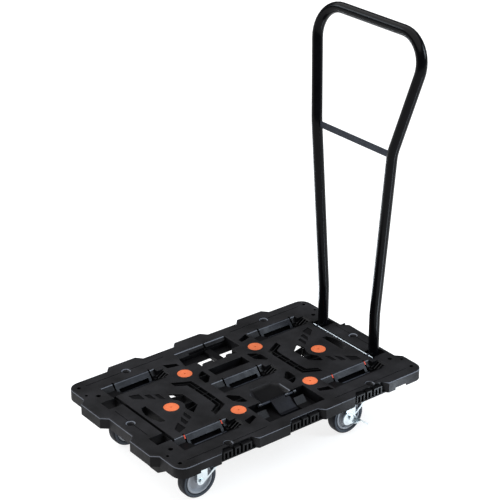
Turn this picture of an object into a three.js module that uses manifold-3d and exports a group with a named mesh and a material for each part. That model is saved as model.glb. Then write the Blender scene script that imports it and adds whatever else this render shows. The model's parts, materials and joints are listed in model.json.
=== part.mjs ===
// A folding platform cart: a ribbed plastic deck on four swivel casters, with a tube handle that folds
// flat over the deck. Millimetres, +Z up. The origin is on the floor under the middle of the cart,
// +X runs along the deck towards the handle, and +Y across it towards the side with the coupling tabs.

import * as THREE from 'three'
import { mergeVertices } from 'three/addons/utils/BufferGeometryUtils.js'
import Module from 'manifold-3d'

const wasm = await Module()
wasm.setup()

// ---------------------------------------------------------------- driving dimensions

const gap = 0.3 // running clearance between neighbouring pieces

const deckLength = 780
const deckWidth = 490
const deckTop = 165 // height of the load surface above the floor
const plateThickness = 4
const skirtDepth = 30
const skirtThickness = 3
const cornerRadius = 30
const halfLength = deckLength / 2
const halfWidth = deckWidth / 2

const tabDepth = 17 // a tab on one cart enters a bay on the next
const tabHalfTip = 42
const tabHalfRoot = 57
const sideTabs = [-210, 0, 210] // places along X, on both long sides
const endTabs = [-107, 107] // places along Y, on both ends

const wheelRadius = 50
const wheelWidth = 29
const swivelX = 238.5
const swivelY = 150
const trail = 34 // from the swivel axis back to the axle
const axleHeight = wheelRadius - deckTop // in the deck's own frame, where the load surface is zero

const tubeRadius = 14.3
const tubeWall = 2
const legX = 341.1
const legY = 101.8
const hingeX = 322
const hingeZ = -3.2
const rodRadius = 2.8
const rodReach = 126

// ---------------------------------------------------------------- materials

function material(color, roughness, metalness = 0) {
  return new THREE.MeshStandardMaterial({ color, roughness, metalness })
}

const deckPlastic = () => material(0x2c2c30, 0.62)
const stopPlastic = () => material(0x3a3f4a, 0.5)
const orangePlastic = () => material(0xf07838, 0.45)
const blackPaint = () => material(0x0c0d10, 0.22, 0.1)
const darkPaint = () => material(0x1c1e22, 0.45, 0.1)
const zinc = () => material(0xc8d2d8, 0.3, 0.9)
const hubPlastic = () => material(0x9aa5b0, 0.5)
const tyreRubber = () => material(0x4c5560, 0.8)

// ---------------------------------------------------------------- solids from three.js shapes

function solid(geometry) {
  geometry.deleteAttribute('normal')
  geometry.deleteAttribute('uv')
  const merged = mergeVertices(geometry, 1e-4)
  const corners = merged.index.array
  const kept = []
  for (let i = 0; i < corners.length; i += 3) {
    const [a, b, c] = [corners[i], corners[i + 1], corners[i + 2]]
    if (a !== b && b !== c && c !== a) kept.push(a, b, c)
  }
  const vertProperties = new Float32Array(merged.attributes.position.array)
  const triVerts = new Uint32Array(kept)
  return new wasm.Manifold(new wasm.Mesh({ numProp: 3, vertProperties, triVerts }))
}

function joined(pieces) {
  return pieces.reduce((whole, piece) => whole.add(piece))
}

function cutBy(piece, tools) {
  return piece.subtract(joined(tools))
}

function block([x0, x1], [y0, y1], [z0, z1]) {
  const geometry = new THREE.BoxGeometry(x1 - x0, y1 - y0, z1 - z0)
  geometry.translate((x0 + x1) / 2, (y0 + y1) / 2, (z0 + z1) / 2)
  return solid(geometry)
}

const [axisX, axisY, axisZ] = [
  new THREE.Vector3(1, 0, 0),
  new THREE.Vector3(0, 1, 0),
  new THREE.Vector3(0, 0, 1),
]

function extruded(points, depth) {
  const shape = new THREE.Shape(points.map(([u, v]) => new THREE.Vector2(u, v)))
  return new THREE.ExtrudeGeometry(shape, { depth, bevelEnabled: false })
}

// The outline lies in the XY plane and the body runs from z0 up to z1.
function prismZ(points, z0, z1) {
  return solid(extruded(points, z1 - z0).translate(0, 0, z0))
}

// The outline is given as (y, z) and the body runs from x0 to x1.
function prismX(points, x0, x1) {
  const turn = new THREE.Matrix4().makeBasis(axisY, axisZ, axisX)
  return solid(extruded(points, x1 - x0).applyMatrix4(turn).translate(x0, 0, 0))
}

// The outline is given as (x, z) and the body runs from y0 to y1.
function prismY(points, y0, y1) {
  const turn = new THREE.Matrix4().makeBasis(axisX, axisZ, axisY.clone().negate())
  return solid(extruded(points, y1 - y0).applyMatrix4(turn).translate(0, y1, 0))
}

function rod(radius, [from, to], axis, centre = [0, 0], segments = 16) {
  const geometry = new THREE.CylinderGeometry(radius, radius, to - from, segments)
  geometry.translate(0, (from + to) / 2, 0)
  if (axis === 'x') geometry.rotateZ(-Math.PI / 2).translate(0, centre[0], centre[1])
  if (axis === 'y') geometry.translate(centre[0], 0, centre[1])
  if (axis === 'z') geometry.rotateX(Math.PI / 2).translate(centre[0], centre[1], 0)
  return solid(geometry)
}

// A closed profile of (radius, height) turned about the given axis.
function turned(profile, axis, segments) {
  const area = profile.reduce((sum, [r, h], i) => {
    const [nextR, nextH] = profile[(i + 1) % profile.length]
    return sum + r * nextH - nextR * h
  }, 0)
  const ordered = area > 0 ? profile : [...profile].reverse()
  const points = [...ordered, ordered[0]].map(([r, h]) => new THREE.Vector2(r, h))
  const geometry = new THREE.LatheGeometry(points, segments)
  if (axis === 'z') geometry.rotateX(Math.PI / 2)
  return solid(geometry)
}

function mesh(name, body, look) {
  const { vertProperties, triVerts } = body.asOriginal().simplify(1e-3).getMesh()
  const geometry = new THREE.BufferGeometry()
  geometry.setAttribute('position', new THREE.BufferAttribute(new Float32Array(vertProperties), 3))
  geometry.setIndex(new THREE.BufferAttribute(new Uint32Array(triVerts), 1))
  geometry.computeVertexNormals()
  const made = new THREE.Mesh(geometry, look)
  made.name = name
  return made
}

// ---------------------------------------------------------------- outlines

const mirrorX = (points) => points.map(([x, y]) => [-x, y]).reverse()
const mirrorY = (points) => points.map(([x, y]) => [x, -y]).reverse()
const fourFold = (points) => [points, mirrorX(points), mirrorY(points), mirrorY(mirrorX(points))]

function cornerArc(cx, cy, startAngle, steps = 5) {
  return Array.from({ length: steps + 1 }, (_, i) => {
    const angle = startAngle + (i / steps) * (Math.PI / 2)
    return [cx + cornerRadius * Math.cos(angle), cy + cornerRadius * Math.sin(angle)]
  })
}

// Anticlockwise from the near left corner. Each bay is a tab's own shape pushed into the opposite side.
function deckOutline() {
  const along = (c, edge) => [
    [c - tabHalfRoot, edge],
    [c - tabHalfTip, edge + tabDepth],
    [c + tabHalfTip, edge + tabDepth],
    [c + tabHalfRoot, edge],
  ]
  const across = (c, edge) => [
    [edge, c - tabHalfRoot],
    [edge - tabDepth, c - tabHalfTip],
    [edge - tabDepth, c + tabHalfTip],
    [edge, c + tabHalfRoot],
  ]
  const [x, y] = [halfLength - cornerRadius, halfWidth - cornerRadius]
  return [
    ...cornerArc(-x, -y, Math.PI),
    ...sideTabs.flatMap((c) => along(c, -halfWidth)),
    ...cornerArc(x, -y, -Math.PI / 2),
    ...endTabs.flatMap((c) => across(c, halfLength)),
    ...cornerArc(x, y, 0),
    ...[...sideTabs].reverse().flatMap((c) => along(c, halfWidth).reverse()),
    ...cornerArc(-x, y, Math.PI / 2),
    ...[...endTabs].reverse().flatMap((c) => across(c, -halfLength).reverse()),
  ]
}

// Moves every side of an anticlockwise loop inwards by d, or outwards where d is negative.
function offsetLoop(points, d) {
  return points.map(([x, y], i) => {
    const [px, py] = points[(i + points.length - 1) % points.length]
    const [nx, ny] = points[(i + 1) % points.length]
    const [la, lb] = [Math.hypot(x - px, y - py), Math.hypot(nx - x, ny - y)]
    const a = [-(y - py) / la, (x - px) / la]
    const b = [-(ny - y) / lb, (nx - x) / lb]
    const reach = d / (1 + a[0] * b[0] + a[1] * b[1])
    return [x + (a[0] + b[0]) * reach, y + (a[1] + b[1]) * reach]
  })
}

function anticlockwise(points) {
  const area = points.reduce((sum, [x, y], i) => {
    const [nx, ny] = points[(i + 1) % points.length]
    return sum + x * ny - nx * y
  }, 0)
  return area > 0 ? points : [...points].reverse()
}

function arcPoints(cx, cy, radius, fromDegrees, toDegrees, steps) {
  return Array.from({ length: steps + 1 }, (_, i) => {
    const angle = THREE.MathUtils.degToRad(fromDegrees + ((toDegrees - fromDegrees) * i) / steps)
    return [cx + radius * Math.cos(angle), cy + radius * Math.sin(angle)]
  })
}

// ---------------------------------------------------------------- deck openings

const outerWedge = [[-136, 183], [-102, 167], [-102, 154], [-134, 162]]
const innerWedge = [
  [-72, 95], [-72, 62], [-94, 39.5], [-101.5, 42], [-100.5, 70], [-93, 83], [-79, 93],
]
// A long opening across the deck on each side of the middle, cranked outwards at both ends.
const cranked = [
  [-172.6, 96], [-125, 71], [-123.5, 34], [-123.5, -34], [-125, -71], [-172.6, -96],
  [-172.6, -76], [-146, -60], [-144, -34], [-144, 34], [-146, 60], [-172.6, 76],
]

const discRadius = 19.6
const discThickness = 3
const endDiscX = 238.4
const discs = {
  front_far: [-115, 113],
  rear_far: [115, 113],
  front_near: [-115, -113],
  rear_near: [115, -113],
  front_middle: [-endDiscX, 0],
  rear_middle: [endDiscX, 0],
}

// A crescent that hugs the end disc on the side that faces the middle of the deck.
const crescent = [
  [-209, 54],
  [-180, 31],
  [-180, -31],
  [-209, -54],
  [-213, -38],
  ...arcPoints(-endDiscX, 0, 35, -44, 44, 8),
  [-213, 38],
]
const handSlot = [
  [-287, -46],
  ...arcPoints(-230, 0, 81, 210, 150, 5),
  [-287, 43],
]

const socket = { x: [-366, -321], y: [85, 122] } // the legs swing inside a socket as the handle folds
const socketLoop = [
  [socket.x[0], socket.y[0]],
  [socket.x[1], socket.y[0]],
  [socket.x[1], socket.y[1]],
  [socket.x[0], socket.y[1]],
]

const farWindow = [
  [-93, 141], [-57, 141], [-57, 117], [58, 117], [58, 141], [85, 141], [85, 200], [-79, 200],
]
const nearWindow = [[-91, -206], [86, -206], [86, -118], [-91, -118]]

const throughHoles = [
  ...[outerWedge, innerWedge, socketLoop].flatMap(fourFold),
  ...[cranked, crescent, handSlot].flatMap((hole) => [hole, mirrorX(hole)]),
  farWindow,
  nearWindow,
].map(anticlockwise)

const pipeHoles = [[369, 217.5, 5], [374, 175, 4], [351, 155, 6]].flatMap(([x, y, r]) =>
  [[x, y, r], [-x, y, r], [x, -y, r], [-x, -y, r]])

// ---------------------------------------------------------------- flip stops and their pockets

const stops = {
  front_far: [-234, 153],
  rear_far: [234, 153],
  centre: [0, 0],
  front_near: [-234, -153],
  rear_near: [234, -153],
}
const stop = {
  halfOpening: 93.5,
  lip: -27, // near edge of the pocket, measured across the deck from the stop's own centre
  lipFoot: -20, // the near edge eases down to here before it drops away
  lipDrop: -2.5,
  rampFar: 14,
  rampRun: 28,
  rampFall: 14.6,
  finPitch: 9.5,
  finThickness: 2.5,
  ridge: 30, // far edge, where the flap meets the load surface
  halfFlap: 53,
  halfSlot: 57.5,
  pinY: 9,
  pinZ: -24.6,
  thickness: 3,
  visibleDepth: 14,
  floor: -28.6,
  armWidth: 8,
  pinRadius: 2,
  notch: 5.5, // the slots at the flap's ends run on past the ridge by this much
}
const stopSlope = (stop.ridge - stop.pinY) / -stop.pinZ // run across the deck for each mm of depth

// The flap's front face and its back face are parallel lines through the ridge and the pin.
const stopFace = (z, back = 0) => stop.ridge + z * stopSlope + back * Math.hypot(1, stopSlope)

// Left of the flap the pocket is a valley with a steep far side and a gentle near side. Between the
// flap's two end slots it drops to the hinge, and a ramp of thin fins closes its right-hand end.
function stopPocketTools(cx, cy) {
  const open = 2
  const behind = (stop.thickness + 1) * Math.hypot(1, stopSlope)
  const underRidge = stop.ridge - 2
  const undercut = -stop.visibleDepth - 1
  const farTop = stop.ridge + gap
  const valley = [
    [stop.lip, 0],
    [stopFace(-stop.visibleDepth), -stop.visibleDepth],
    [stop.ridge, 0],
    [stop.ridge, open],
    [stop.lip, open],
  ]
  const easedLip = [[stop.lip, open], [stop.lip, 0], [stop.lipFoot, stop.lipDrop]]
  const deep = [
    ...easedLip,
    [stop.lipFoot, stop.floor],
    [underRidge, stop.floor],
    [underRidge, undercut],
    [stop.ridge + behind + undercut * stopSlope, undercut],
    [farTop, (gap - behind) / stopSlope],
    [farTop, open],
  ]
  const at = (points) => points.map(([y, z]) => [y + cy, z])
  const alongX = (points) => points.map(([x, z]) => [x + cx, z])
  const [slotX, endX] = [stop.halfSlot - 1, stop.halfOpening]
  const rampFoot = endX - stop.rampRun
  const ramp = [
    [slotX, open], [slotX, stop.floor], [rampFoot, stop.floor], [rampFoot, -stop.rampFall], [endX, open],
  ]
  const finGap = [[slotX, open], [slotX, stop.floor], [endX - 8, stop.floor], [endX - 8, open]]
  const firstGap = stop.rampFar - stop.finThickness - 1
  const gapWidth = stop.finPitch - stop.finThickness
  const finGaps = [0, 1, 2].map((i) => {
    const top = cy + firstGap - i * stop.finPitch
    return prismY(alongX(finGap), top - gapWidth, top)
  })
  const slot = (stop.halfFlap + stop.halfSlot) / 2
  const halfSlotWidth = (stop.halfSlot - stop.halfFlap) / 2
  const notches = [-slot, slot].map((x) => block(
    [cx + x - halfSlotWidth, cx + x + halfSlotWidth],
    [cy + stop.ridge - 2, cy + stop.ridge + stop.notch],
    [-8, open]))
  return [
    prismX(at(valley), cx - stop.halfOpening, cx - stop.halfSlot + 1),
    prismX(at(deep), cx - stop.halfSlot, cx + stop.halfSlot),
    prismX(at(valley), cx + stop.halfSlot - 1, cx + rampFoot + 5),
    prismY(alongX(ramp), cy + stop.lipFoot, cy + stop.rampFar),
    ...finGaps,
    ...notches,
  ]
}

function stopPocketBlock(cx, cy) {
  const wall = 3
  return block(
    [cx - stop.halfOpening - wall, cx + stop.halfOpening + wall],
    [cy + stop.lipFoot - wall, cy + stop.ridge + stop.notch + wall],
    [stop.floor - 1.4, 0])
}

function stopPinSupport(cx, cy) {
  const [y0, y1] = [cy + stop.pinY - 4.5, cy + stop.pinY + 8]
  const side = (x0, x1) => block([x0, x1], [y0, y1], [stop.floor - 1, -16.5])
  const reach = 65
  return [side(cx - reach, cx - stop.halfSlot), side(cx + stop.halfSlot, cx + reach)]
}

function stopPinHole(cx, cy) {
  return rod(stop.pinRadius + gap, [cx - 63, cx + 63], 'x', [cy + stop.pinY, stop.pinZ], 12)
}

// ---------------------------------------------------------------- deck

const linkPin = { y: -122, z: -7, radius: 3 }
const linkKnuckles = [[-60, -52], [24, 32], [50, 58]] // places along X where the pin is held

function deckSolids() {
  const outline = deckOutline()
  const inner = offsetLoop(outline, skirtThickness)
  const skirt = prismZ(outline, -skirtDepth, 0).subtract(prismZ(inner, -skirtDepth - 1, -plateThickness))
  const ribBottom = 4 - skirtDepth
  const longRib = (y) => block([-halfLength + 1, halfLength - 1], [y - 1.2, y + 1.2], [ribBottom, -1])
  const crossRib = (x) => block([x - 1.2, x + 1.2], [-halfWidth + 20, halfWidth - 1], [ribBottom, -1])
  const padTop = -1
  const pad = (x, y) => block([x - 50, x + 50], [y - 40, y + 40], [-skirtDepth, padTop])
  const collarDepth = 28.5
  return [
    skirt,
    ...[-208, -66, 66, 208].map(longRib),
    ...[-343, -110, 110, 343].map(crossRib),
    ...throughHoles.map((hole) => prismZ(offsetLoop(hole, -2.5), -collarDepth, -1)),
    ...Object.values(discs).map(([x, y]) => rod(discRadius + 3, [-12, -1], 'z', [x, y], 16)),
    ...Object.values(stops).map(([x, y]) => stopPocketBlock(x, y)),
    ...[[1, 1], [1, -1], [-1, 1], [-1, -1]].map(([sx, sy]) => pad(sx * swivelX, sy * swivelY)),
    block([-60, 57], [54, 95], [-24, -1]), // tool pocket
    block([-56, 56], [-117, -50], [-13, -1]), // arched recess
    ...[-hingeX, hingeX].map((x) => block([x - 8, x + 8], [-rodReach - 5, rodReach + 5], [-12, -1])),
    ...hookPlaces.map(([x, y]) => rod(15, [-9, -1], 'z', [x, y], 8)),
    ...pipeHoles.map(([x, y, r]) => rod(r + 2.5, [-24, -1], 'z', [x, y], 8)),
  ]
}

const hookPlaces = [[226, 217], [-226, 217], [226, -217], [-226, -217], [360, 0], [-360, 0]]

// Shallow dished seats, with a straight groove for a cord running away on both sides of each.
function hookTools() {
  const bowl = [[0, 2], [13, 2], [12.5, 0], [6, -6], [0, -6]]
  const dish = (x, y) => turned(bowl, 'z', 14).translate([x, y, 0])
  const groove = (xs, ys) => block(xs, ys, [-1.2, 1])
  const sideGrooves = [-217, 217].flatMap((y) =>
    [-1, 1].map((s) => {
      const xs = [s * 109, s * 349].sort((a, b) => a - b)
      return groove(xs, [y - 0.9, y + 0.9])
    }))
  const endGrooves = [-359, 359].flatMap((x) =>
    [[-70, -12], [12, 70]].map((ys) => groove([x - 0.9, x + 0.9], ys)))
  return [...hookPlaces.map(([x, y]) => dish(x, y)), ...sideGrooves, ...endGrooves]
}

// Three small sunk panels on each quarter of the deck, beside the end discs.
function sunkPanels() {
  const panels = [
    [[-292, 109], [-267, 100], [-268, 69], [-292, 90]],
    [[-259, 88], [-246, 83], [-246, 52], [-258, 68]],
    [[-238, 74], [-227, 70], [-227, 39], [-237, 49]],
  ]
  return panels.flatMap(fourFold).map((panel) => prismZ(anticlockwise(panel), -2, 1))
}

// The recess in front of the link tongue, with its walls sloping in on three sides.
function archedRecess() {
  const top = [[-52, -119], [47, -119], [47, -75], [29, -53], [-34, -53], [-52, -75]]
  const floorDepth = -9
  const geometry = new THREE.BufferGeometry()
  const shrink = ([x, y]) => [x * 0.78, y < -100 ? y : -119 + (y + 119) * 0.8]
  const upper = top.map(([x, y]) => [x, y, 1])
  const lower = top.map(shrink).map(([x, y]) => [x, y, floorDepth])
  const vertices = [...upper, ...lower]
  const count = top.length
  const faces = []
  for (let i = 0; i < count; i++) {
    const next = (i + 1) % count
    faces.push([i, count + i, count + next], [i, count + next, next])
  }
  for (let i = 1; i < count - 1; i++) {
    faces.push([0, i, i + 1], [count, count + i + 1, count + i])
  }
  geometry.setAttribute('position', new THREE.BufferAttribute(new Float32Array(vertices.flat()), 3))
  geometry.setIndex(faces.flat())
  geometry.computeVertexNormals()
  return solid(geometry)
}

// Eight fins stand out of the sunk wall of each bay on the near side. They hang from three short rails.
function bayFins(cx) {
  const wallY = -halfWidth + tabDepth
  const reach = [wallY - 11, wallY + 1]
  const pitch = 11.6
  const halfFin = 2.3
  const [foot, railFoot, top] = [-28, -9.5, -5.5]
  const place = (i) => cx - 45 + i * pitch
  const rails = [[0, 2], [3, 4], [5, 7]].map(([first, last]) =>
    block([place(first) - halfFin, place(last) + halfFin], reach, [railFoot, top]))
  const fins = Array.from({ length: 8 }, (_, i) =>
    block([place(i) - halfFin, place(i) + halfFin], reach, [foot, top]))
  return [...rails, ...fins]
}

// The far side of the long window slopes down in three lengths, of which the first reaches lowest.
function farWindowSlope() {
  const slope = (footY, x0, x1) => {
    const footZ = (footY - 212) * 0.92
    return prismX([[212, 0], [footY, footZ], [footY, -20], [214, -20], [214, 0]], x0, x1)
  }
  const shelf = block([-92, 86], [176, 203], [-29, -26])
  const backing = [block([12, 21], [200, 214], [-20, -12]), block([12, 21], [211.5, 214], [-14, -2])]
  const bar = prismX([[120, -16], [200, -16], [200, -27], [120, -27]], 10, 30)
  const lugs = [
    rod(9, [-18, 0], 'z', [-45, 117]),
    block([-45, -18], [112, 126], [-18, 0]),
    rod(14, [-18, 0], 'z', [34, 113]),
  ]
  const slopes = [slope(199, -79, -38), slope(204, -38, 14), slope(202.5, 19, 85)]
  return [...slopes, shelf, ...backing, bar, ...lugs]
}

// The hinge rod lies in a groove at the handle's end, and the other end has the same groove, empty.
function hingeGroove(x) {
  return block([x - 3.6, x + 3.6], [-rodReach - 1, rodReach + 1], [-6.9, 2])
}

// The rim of each end crescent is open on its far side, under the load surface.
function sightGap(x) {
  return block([x - 36, x + 36], [33, 92], [-skirtDepth - 1, -plateThickness])
}

// A low notch in the foot of the near skirt.
function skirtNotch(x) {
  return block([x - 19, x + 19], [-halfWidth - 1, -halfWidth + 12], [-skirtDepth - 1, 6 - skirtDepth])
}

function buildDeck() {
  const raised = deckSolids()
  const tools = [
    ...throughHoles.map((hole) => prismZ(hole, -skirtDepth - 2, 2)),
    ...pipeHoles.map(([x, y, r]) => rod(r, [-skirtDepth - 2, 2], 'z', [x, y], 10)),
    ...Object.values(discs).map(([x, y]) =>
      rod(discRadius + gap, [-discThickness - gap, 2], 'z', [x, y], 28)),
    ...Object.values(stops).flatMap(([x, y]) => stopPocketTools(x, y)),
    block([-57, 54], [57, 92], [-22, 2]),
    archedRecess(),
    block([-79, 85], [199, 212], [-14, 2]),
    ...[-1, 1].map((s) => hingeGroove(s * hingeX)),
    ...[-1, 1].map((s) => block([hingeX - 9, hingeX], [s * legY - 5.5, s * legY + 5.5], [-13, 2])),
    ...hookTools(),
    ...sunkPanels(),
    ...[-1, 1].map((s) => sightGap(s * 214)),
    ...[-309, 309].map(skirtNotch),
    block([57.5, 90], [118, 140], [-skirtDepth - 1, -5]), // the far window's rim is open on its right
  ]
  const bars = [
    ...Object.values(stops).flatMap(([x, y]) => stopPinSupport(x, y)),
    ...sideTabs.flatMap(bayFins),
    ...farWindowSlope(),
    ...linkSupports(),
    ...openingRibs(),
    endLug(),
  ]
  const late = [
    ...Object.values(stops).map(([x, y]) => stopPinHole(x, y)),
    rod(linkPin.radius + gap, [-61, 59], 'x', [linkPin.y, linkPin.z], 12),
  ]
  return cutBy(cutBy(joined(raised), tools).add(joined(bars)), late)
}

// Thin ribs that cross the larger openings.
function openingRibs() {
  const [top, foot] = [-0.6, -24]
  const thin = 1
  const web = (outline) => prismZ(outline, foot, top)
  const rib = ([ax, ay], [bx, by]) => prismZ(
    anticlockwise([[ax, ay - thin], [bx, by - thin], [bx, by + thin], [ax, ay + thin]]), foot, top)
  const oneEnd = (s) => [
    ...[-75, 75].map((y) => rib([s * 70, y], [s * 102, y])),
    ...[-34, 0, 34].map((y) => rib([s * 122, y], [s * 145, y])),
    ...[-1, 1].map((t) => rib([s * 134, t * 63], [s * 174, t * 84])),
    ...[-1, 1].map((t) => rib([s * 179, t * 28], [s * 214, t * 36])),
    rib([s * 179, -10], [s * 205, -10]),
    block([s * 134.5 - thin, s * 134.5 + thin], [-64, 64], [foot, top]),
  ]
  return [-1, 1].flatMap(oneEnd)
}

// A short keel under the near half of the front end.
function endLug() {
  const side = [[-190, -29], [-155, -52], [-122, -52], [-112, -29]]
  return prismX(side, -halfLength + 0.5, -halfLength + 12)
}

function linkSupports() {
  const eye = [
    [linkPin.y + 4.5, -1.5],
    [linkPin.y + 4.5, -13],
    [linkPin.y - 1.5, -12.6],
    [linkPin.y - 5.5, -9],
    [linkPin.y - 5.5, -5],
    [linkPin.y - 2, -1.5],
  ]
  const supports = linkKnuckles.map(([x0, x1]) => prismX(eye, x0, x1))
  const ledge = (x0, x1) => prismX([[-207, -27], [-140, -27], [-144, -7], [-160, -21], [-207, -21]], x0, x1)
  const trayFloor = block([-92, 87], [-207, -117], [-29.5, -27.4])
  return [...supports, ledge(-83, -54), ledge(34, 66), trayFloor]
}

// ---------------------------------------------------------------- small deck pieces

function buildDisc() {
  const dimple = rod(1.6, [-0.8, 1], 'z', [0, 0], 8)
  return rod(discRadius, [-discThickness, 0], 'z', [0, 0], 28).subtract(dimple)
}

// A flap that lies on the slope of its pocket and swings up on its lower edge.
function buildFlipStop() {
  const top = stop.ridge - 0.4
  const depthAt = (y, back) => (y - stop.ridge - back * Math.hypot(1, stopSlope)) / stopSlope
  const slab = (footZ) => [
    [top, depthAt(top, 0)],
    [stopFace(footZ), footZ],
    [stopFace(footZ, stop.thickness), footZ],
    [top, depthAt(top, stop.thickness)],
  ]
  const arm = slab(stop.pinZ + 1)
  const [a, b] = [-stop.halfFlap, stop.halfFlap]
  const ends = [[a, a + stop.armWidth], [b - stop.armWidth, b]]
  const body = joined([
    prismX(slab(-stop.visibleDepth), a, b),
    ...ends.map(([x0, x1]) => prismX(arm, x0, x1)),
    ...ends.map((span) => rod(3.4, span, 'x', [stop.pinY, stop.pinZ])),
  ])
  return body.subtract(rod(stop.pinRadius + gap, [a - 1, b + 1], 'x', [stop.pinY, stop.pinZ], 12))
}

function buildStopPin() {
  return rod(stop.pinRadius, [-62, 62], 'x', [stop.pinY, stop.pinZ], 12)
}

// A small bright catch that shows at the head of each slot beside a near flap.
function buildStopCatch() {
  const half = 1.6
  const profile = [[29.4, -0.6], [23, -8], [26, -8], [29.4, -4.2]]
  return prismX(profile, -half, half)
}

// The tongue that drops onto the neighbouring cart and ties the two together.
function buildLinkTongue() {
  const [left, right, wing] = [-23, 21, 33] // the wing widens the plate below the hinge line
  const run = 38
  const drop = 16.5
  const half = 3.5
  const [y, z] = [linkPin.y, linkPin.z]
  const [tipY, tipZ] = [y - run, z - drop]
  const rootY = y - 7.5
  const rootZ = z - (7.5 * drop) / run
  const plate = prismX(
    [[y, z + half], [y, z - half], [tipY, tipZ - half], [tipY, tipZ + 0.5], [y - 3, z + half]], left, right)
  const widening = prismX(
    [[rootY, rootZ + half], [rootY, rootZ - half], [tipY, tipZ - half], [tipY, tipZ + 0.5]], right - 1, wing)
  const lip = prismX(
    [[tipY + 0.5, tipZ + 0.5], [tipY + 0.5, tipZ - half], [tipY - 9, tipZ - half], [tipY - 9, tipZ - 0.5]],
    left, wing)
  const barrel = rod(4.4, [left, right], 'x', [y, z])
  const bore = rod(linkPin.radius + gap, [left - 5, right + 5], 'x', [y, z], 12)
  return joined([plate, widening, lip, barrel]).subtract(bore)
}

function buildLinkPin() {
  return rod(linkPin.radius, [-60.5, 58.5], 'x', [linkPin.y, linkPin.z], 12)
}

// ---------------------------------------------------------------- handle

// A path that visits chosen stations, so that straight runs take one step and bends take several.
class StationPath extends THREE.Curve {
  constructor(stations) {
    super()
    this.stations = stations
  }

  index(u) {
    return Math.round(u * (this.stations.length - 1))
  }

  getPoint(u) {
    return this.stations[this.index(u)].clone()
  }

  getPointAt(u) {
    return this.getPoint(u)
  }

  getTangentAt(u) {
    const i = this.index(u)
    const before = this.stations[Math.max(i - 1, 0)]
    const after = this.stations[Math.min(i + 1, this.stations.length - 1)]
    const here = this.stations[i]
    const into = i > 0 ? here.clone().sub(before).normalize() : new THREE.Vector3()
    const out = i < this.stations.length - 1 ? after.clone().sub(here).normalize() : new THREE.Vector3()
    return into.add(out).normalize()
  }
}

// Replaces each inner corner of a polyline by an arc that is tangent to both of its sides.
function roundedPath(corners, radii, stepsPerBend) {
  const stations = [corners[0]]
  for (let i = 1; i < corners.length - 1; i++) {
    const into = corners[i].clone().sub(corners[i - 1]).normalize()
    const out = corners[i + 1].clone().sub(corners[i]).normalize()
    const turn = into.angleTo(out)
    const reach = radii[i - 1] * Math.tan(turn / 2)
    const start = corners[i].clone().addScaledVector(into, -reach)
    const inward = out.clone().sub(into.clone().multiplyScalar(Math.cos(turn))).normalize()
    const centre = start.clone().addScaledVector(inward, radii[i - 1])
    const steps = stepsPerBend[i - 1]
    for (let k = 0; k <= steps; k++) {
      const angle = (turn * k) / steps
      stations.push(centre.clone()
        .addScaledVector(inward, -radii[i - 1] * Math.cos(angle))
        .addScaledVector(into, radii[i - 1] * Math.sin(angle)))
    }
  }
  stations.push(corners[corners.length - 1])
  return new StationPath(stations)
}

const handle = {
  footZ: -26,
  splayZ: 112, // the legs stand straight up to here and then spread
  barZ: 570, // crossbar
  kneeZ: 576,
  kneeY: 143.6,
  topZ: 874.2,
  topY: 209.5,
  topX: 393,
}

function handleCorners(side) {
  return [
    new THREE.Vector3(legX, side * legY, handle.footZ),
    new THREE.Vector3(legX, side * legY, handle.splayZ),
    new THREE.Vector3(legX, side * handle.kneeY, handle.kneeZ),
    new THREE.Vector3(handle.topX, side * handle.topY, handle.topZ),
  ]
}

function buildHandleTube() {
  const corners = [...handleCorners(-1), ...handleCorners(1).reverse()]
  const path = roundedPath(corners, [300, 160, 78, 78, 160, 300], [2, 3, 7, 7, 3, 2])
  const section = new THREE.Shape().absarc(0, 0, tubeRadius, 0, 2 * Math.PI)
  section.holes.push(new THREE.Path().absarc(0, 0, tubeRadius - tubeWall, 0, 2 * Math.PI, true))
  const steps = path.stations.length - 1
  return solid(new THREE.ExtrudeGeometry(section, { steps, extrudePath: path, curveSegments: 7 }))
}

function buildCrossbar() {
  const t = (handle.barZ - handle.splayZ) / (handle.kneeZ - handle.splayZ)
  const centreY = legY + (handle.kneeY - legY) * t
  const reach = centreY - tubeRadius - 1
  return block([legX - 2, legX + 2], [-reach, reach], [handle.barZ - 9, handle.barZ + 9])
}

// An ear stands against the foot of each leg, below the load surface, and turns on the hinge rod.
function buildHingeEar() {
  const ringRadius = 4.4
  const halfEar = 2
  const webDepth = 20
  const reach = legX - tubeRadius - gap
  const ring = rod(ringRadius, [-halfEar, halfEar], 'y', [hingeX, hingeZ])
  const web = block([hingeX - 1, reach], [-halfEar, halfEar], [hingeZ - webDepth, hingeZ - 2])
  const bore = rod(rodRadius + gap, [-halfEar - 1, halfEar + 1], 'y', [hingeX, hingeZ])
  return joined([ring, web]).subtract(bore)
}

function buildHingeRod() {
  return rod(rodRadius, [-rodReach, rodReach], 'y', [hingeX, hingeZ])
}

// ---------------------------------------------------------------- casters

const caster = {
  plateTop: -skirtDepth - gap,
  plateThickness: 3,
  plateHalfX: 46,
  plateHalfY: 36,
  boltX: 37,
  boltY: 27,
  raceRadius: 25,
  raceDepth: 9,
  crownThickness: 3,
  cheekInner: 16.5,
  cheekThickness: 2.5,
  axleRadius: 4,
}
caster.raceTop = caster.plateTop - caster.plateThickness - gap
caster.crownTop = caster.raceTop - caster.raceDepth - gap

function buildCasterPlate() {
  const { plateTop, plateThickness, plateHalfX, plateHalfY, boltX, boltY } = caster
  const under = plateTop - plateThickness
  const plate = block([-plateHalfX, plateHalfX], [-plateHalfY, plateHalfY], [under, plateTop])
  const bolts = [[1, 1], [1, -1], [-1, 1], [-1, -1]].map(([sx, sy]) =>
    rod(5.5, [under - 4, under + 1], 'z', [sx * boltX, sy * boltY], 6))
  return joined([plate, ...bolts])
}

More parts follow.
